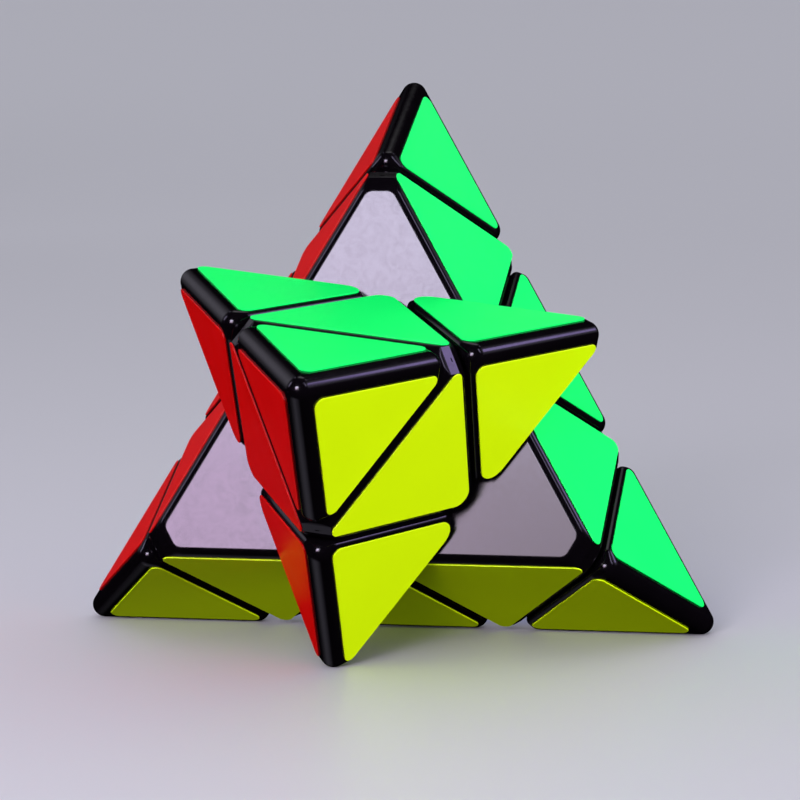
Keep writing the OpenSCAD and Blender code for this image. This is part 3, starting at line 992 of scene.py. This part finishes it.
class PUZZLE_OT_core(bpy.types.Operator):
    """Finish the core and its fasteners and wind the springs"""

    bl_idname = "puzzle.core"
    bl_label = "Core and springs"

    coil_radius = 2.7 * MM
    wire_radius = 0.35 * MM
    spring_low = 18.5 * MM
    spring_high = 25.6 * MM
    turns = 7
    closed_share = 0.12

    def execute(self, context):
        refinish("core", "core_nylon")
        refinish("tension_screws", "plated_steel")
        refinish("spring_washers", "plated_steel")
        home = shape("spring_home", bmesh.new())
        wind = home.modifiers.new("Wind", "NODES")
        wind.node_group = wire_tree()
        set_inputs(
            wind, coil_radius=self.coil_radius, wire_radius=self.wire_radius, low=self.spring_low,
            high=self.spring_high, turns=float(self.turns), closed_share=self.closed_share,
            steel=finish_of("spring_wire"),
        )
        plain_mesh(home)
        bm = bmesh.new()
        for corner in CORNERS:
            mesh = home.data.copy()
            mesh.transform(standing(corner, partner(corner), False))
            bm.from_mesh(mesh)
        for face in bm.faces:
            face.smooth = True
        springs = shape("tension_springs_wound", bm)
        springs.data.materials.append(finish_of("spring_wire"))
        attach(springs, "back_layers")
        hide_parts("tension_springs")
        bpy.data.objects.remove(home)
        return {"FINISHED"}


# ---------------------------------------------------------------- studio


class PUZZLE_OT_stage(bpy.types.Operator):
    """Set up the floor, the soft lights and the camera"""

    bl_idname = "puzzle.stage"
    bl_label = "Stage"

    floor_colour = "dcdce2"
    backdrop_colour = "e6e6ee"
    # Cards that only show in the gloss: name, the point in mm that each faces, direction and
    # distance from it, width, height, radiance, colour, and width of the soft rim as a share
    cards = (
        ("left_strip", (0, 12, 31), (-0.87, -0.04, 0.50), 0.75, 0.12, 0.5, 4.5, "e6deff", 0.3),
        ("right_strip", (0, 12, 31), (0.69, -0.30, 0.67), 0.75, 0.12, 0.5, 4.5, "e6deff", 0.3),
        ("flat_card", (17, -19, 46), (0.818, 0.349, 0.454), 0.45, 0.15, 0.15, 4.5, "d0bcff", 0.25),
        ("right_wall", (3, -34, 40), (0.833, 0.312, 0.453), 0.60, 0.55, 0.55, 0.9, "f2eeff", 0.5),
        ("left_wall", (-15, -30, 45), (-0.72, 0.60, 0.35), 0.60, 0.60, 0.60, 0.42, "f2eeff", 0.5),
        ("table_sheen", (-1, -36, 33), (-0.45, 0.10, -0.88), 0.35, 0.40, 0.40, 0.35, "f2eeff", 0.5),
        ("ceiling", (0, 12, 31), (0.0, 0.45, 0.90), 0.90, 0.60, 0.50, 0.8, "ffffff", 0.3),
        ("back_left", (0, 12, 31), (-0.55, 0.55, 0.62), 0.80, 0.12, 0.5, 3.0, "ece6ff", 0.3),
        ("back_right", (0, 12, 31), (0.55, 0.45, 0.70), 0.80, 0.12, 0.5, 3.0, "ece6ff", 0.3),
    )
    # Lights hidden from the gloss and from the floor, so that they only bring up the colours:
    # name, direction and distance from the core, width, height and radiance
    fills = (
        ("right_fill", (0.95, -0.28, 0.14), 0.80, 0.40, 0.30, 17.5),
        ("left_fill", (-0.95, -0.28, 0.14), 0.80, 0.40, 0.30, 10.0),
        ("back_fill", (0.10, 0.95, 0.35), 0.80, 0.45, 0.30, 9.0),
        ("top_fill", (0.0, 0.1, 1.0), 0.90, 0.60, 0.50, 1.2),
    )
    # The key light: middle, width, height, and its radiance at the top and at both low corners
    key_middle = (-0.120, -0.600, 0.255)
    key_size = (0.27, 0.25)
    key_top = (15.0, 14.3, 16.4)
    key_left = (12.4, 9.4, 12.4)
    key_right = (6.0, 5.2, 5.6)
    # Half of the middle share of the key light over which its radiance changes
    key_fade = 0.1
    # Strength of the sky below and above the horizon
    sky_low = 0.02
    sky_high = 0.9
    sensor = 36
    farthest = 100

    def floor(self, width):
        """Large plain floor of pale paper."""
        bm = bmesh.new()
        bmesh.ops.create_grid(bm, x_segments=1, y_segments=1, size=width / 2)
        obj = shape("floor", bm)
        # The object is lit and mirrored as on an open table: the floor only shows and takes shadows
        obj.visible_glossy = False
        obj.visible_diffuse = False
        material, tree, shader = new_material("Pale floor paper")
        tooth = add(tree, "ShaderNodeTexNoise", {"Vector": per_mm(tree, 0.8), "Scale": 1.0, "Detail": 2.0})
        bump = add(
            tree, "ShaderNodeBump", {"Strength": 0.1, "Distance": 0.02 * MM, "Height": tooth.outputs["Fac"]}
        )
        tree.links.new(bump.outputs["Normal"], shader.inputs["Normal"])
        shader.inputs["Base Color"].default_value = (*linear(self.floor_colour), 1)
        shader.inputs["Roughness"].default_value = 0.5
        obj.data.materials.append(material)
        return obj

    def facing(self, target, direction, distance):
        """Matrix of a sheet that faces target from a direction and a distance."""
        way = Vector(direction).normalized()
        turn = (-way).to_track_quat("-Z", "Y").to_matrix().to_4x4()
        return Matrix.Translation(Vector(target) + way * distance) @ turn

    def fill(self, label, direction, distance, width, height, radiance):
        """White rectangular light that faces the core and isn't seen in the gloss."""
        light = bpy.data.lights.new(label, "AREA")
        light.shape = "RECTANGLE"
        light.size = width
        light.size_y = height
        light.energy = radiance * math.pi * width * height
        obj = bpy.data.objects.new(label, light)
        obj.matrix_world = self.facing(MIDDLE, direction, distance)
        obj.visible_glossy = False
        bpy.context.scene.collection.objects.link(obj)
        return obj

    def sheet(self, label, place, width, height):
        """Emissive sheet and its empty node tree; its Object coordinates run from -0.5 to 0.5."""
        bm = bmesh.new()
        bmesh.ops.create_grid(bm, x_segments=1, y_segments=1, size=0.5)
        obj = shape(label, bm)
        obj.matrix_world = place @ Matrix.Diagonal((width, height, 1, 1))
        obj.visible_camera = False
        material = bpy.data.materials.new(f"Lit {label}")
        material.use_nodes = True
        material.node_tree.nodes.clear()
        obj.data.materials.append(material)
        return obj, material.node_tree

    def rim(self, tree, axis, soft):
        """Brightness that fades over the soft rim along one axis of a sheet."""
        away = add(tree, "ShaderNodeMath", {0: axis}, operation="ABSOLUTE")
        inside = add(tree, "ShaderNodeMath", {0: 0.5, 1: away.outputs["Value"]}, operation="SUBTRACT")
        fade = add(
            tree, "ShaderNodeMapRange", {"Value": inside.outputs["Value"], "From Max": soft},
            interpolation_type="SMOOTHSTEP",
        )
        return fade.outputs["Result"]

    def card(self, label, target, direction, distance, width, height, radiance, tint, soft):
        """Soft-edged card that is seen only in the gloss."""
        target = [millimetres * MM for millimetres in target]
        obj, tree = self.sheet(label, self.facing(target, direction, distance), width, height)
        place = add(tree, "ShaderNodeTexCoord")
        axes = add(tree, "ShaderNodeSeparateXYZ", {"Vector": place.outputs["Object"]})
        across = self.rim(tree, axes.outputs["X"], soft)
        up = self.rim(tree, axes.outputs["Y"], soft)
        both = add(tree, "ShaderNodeMath", {0: across, 1: up}, operation="MULTIPLY")
        strength = add(
            tree, "ShaderNodeMath", {0: both.outputs["Value"], 1: radiance}, operation="MULTIPLY"
        )
        glow = add(
            tree, "ShaderNodeEmission",
            {"Color": (*linear(tint), 1), "Strength": strength.outputs["Value"]},
        )
        add(tree, "ShaderNodeOutputMaterial", {"Surface": glow.outputs["Emission"]})
        obj.visible_diffuse = False

    def key(self):
        """Large soft key light, brightest at its top and falling off to the low right, as a
        diffuser does with its lamp set high."""
        way = Vector(self.key_middle) - MIDDLE
        obj, tree = self.sheet("key_diffuser", self.facing(MIDDLE, way, way.length), *self.key_size)
        place = add(tree, "ShaderNodeTexCoord")
        axes = add(tree, "ShaderNodeSeparateXYZ", {"Vector": place.outputs["Object"]})
        zone = {"From Min": -self.key_fade, "From Max": self.key_fade}
        across = add(tree, "ShaderNodeMapRange", {"Value": axes.outputs["X"], **zone})
        up = add(tree, "ShaderNodeMapRange", {"Value": axes.outputs["Y"], **zone})
        low = add(tree, "ShaderNodeMix", {"Factor": across.outputs["Result"]}, data_type="VECTOR")
        low.inputs[VECTOR_A].default_value = self.key_left
        low.inputs[VECTOR_B].default_value = self.key_right
        whole = add(tree, "ShaderNodeMix", {"Factor": up.outputs["Result"]}, data_type="VECTOR")
        tree.links.new(low.outputs[VECTOR_RESULT], whole.inputs[VECTOR_A])
        whole.inputs[VECTOR_B].default_value = self.key_top
        glow = add(tree, "ShaderNodeEmission", {"Color": whole.outputs[VECTOR_RESULT]})
        add(tree, "ShaderNodeOutputMaterial", {"Surface": glow.outputs["Emission"]})

    def sky(self):
        """Even light from above the horizon and next to none from below it."""
        world = bpy.data.worlds.new("Studio")
        world.use_nodes = True
        tree = world.node_tree
        background = tree.nodes["Background"]
        background.inputs["Color"].default_value = (*linear(self.backdrop_colour), 1)
        place = add(tree, "ShaderNodeTexCoord")
        axes = add(tree, "ShaderNodeSeparateXYZ", {"Vector": place.outputs["Generated"]})
        rise = add(
            tree, "ShaderNodeMapRange",
            {"Value": axes.outputs["Z"], "From Min": -0.1, "From Max": 0.1,
             "To Min": self.sky_low, "To Max": self.sky_high},
        )
        tree.links.new(rise.outputs["Result"], background.inputs["Strength"])
        # Only the cards and the key light show in the gloss, as in a blacked-out studio
        world.cycles_visibility.glossy = False
        bpy.context.scene.world = world

    def camera(self, s):
        """Camera that looks at the core from the given direction and rolls about its axis."""
        data = bpy.data.cameras.new("camera")
        data.lens = s.lens
        data.sensor_width = self.sensor
        data.shift_x = s.shift_across
        data.shift_y = s.shift_up
        data.clip_end = self.farthest
        obj = bpy.data.objects.new("camera", data)
        flat = math.cos(s.elevation)
        back = Vector((math.sin(s.azimuth) * flat, -math.cos(s.azimuth) * flat, math.sin(s.elevation)))
        right = Vector((math.cos(s.azimuth), math.sin(s.azimuth), 0))
        basis = Matrix((right, back.cross(right), back)).transposed().to_4x4()
        place = Matrix.Translation(MIDDLE + back * s.distance)
        obj.matrix_world = place @ basis @ Matrix.Rotation(s.roll, 4, "Z")
        bpy.context.scene.collection.objects.link(obj)
        bpy.context.scene.camera = obj

    def execute(self, context):
        s = context.scene.stage_sizes
        spared = bpy.data.collections.new("Spared by the fills")
        spared.objects.link(self.floor(s.floor))
        spared.collection_objects[0].light_linking.link_state = "EXCLUDE"
        for card in self.cards:
            self.card(*card)
        for box in self.fills:
            self.fill(*box).light_linking.receiver_collection = spared
        self.key()
        self.sky()
        context.scene.view_settings.view_transform = "Standard"
        self.camera(s)
        return {"FINISHED"}


class PUZZLE_PT_panel(bpy.types.Panel):
    """Sidebar panel with the sizes, the colours and the steps"""

    bl_idname = "PUZZLE_PT_panel"
    bl_label = "Pyramid puzzle"
    bl_space_type = "VIEW_3D"
    bl_region_type = "UI"
    bl_category = "Puzzle"

    def draw(self, context):
        for group in ("puzzle_sizes", "sticker_sizes", "finish_colours", "stage_sizes"):
            settings = getattr(context.scene, group)
            box = self.layout.box()
            for key in settings.__annotations__:
                box.prop(settings, key)
        for operator in OPERATORS:
            self.layout.operator(operator.bl_idname)


GROUPS = {
    "puzzle_sizes": PuzzleSizes,
    "sticker_sizes": StickerSizes,
    "finish_colours": FinishColours,
    "stage_sizes": StageSizes,
}
OPERATORS = (
    PUZZLE_OT_centre_pieces,
    PUZZLE_OT_tips,
    PUZZLE_OT_edge_pieces,
    PUZZLE_OT_stickers,
    PUZZLE_OT_core,
    PUZZLE_OT_stage,
)


def register():
    """Registers every class and the property groups on the scene."""
    for cls in (*GROUPS.values(), *OPERATORS, PUZZLE_PT_panel):
        bpy.utils.register_class(cls)
    for name, group in GROUPS.items():
        setattr(bpy.types.Scene, name, PointerProperty(type=group))


def unregister():
    """Takes the property groups and the classes away again."""
    for name in GROUPS:
        delattr(bpy.types.Scene, name)
    for cls in (PUZZLE_PT_panel, *reversed(OPERATORS), *GROUPS.values()):
        bpy.utils.unregister_class(cls)


def main():
    """Makes the whole puzzle and its studio."""
    register()
    for operator in OPERATORS:
        group, call = operator.bl_idname.split(".")
        getattr(getattr(bpy.ops, group), call)()


if __name__ == "__main__":
    main()
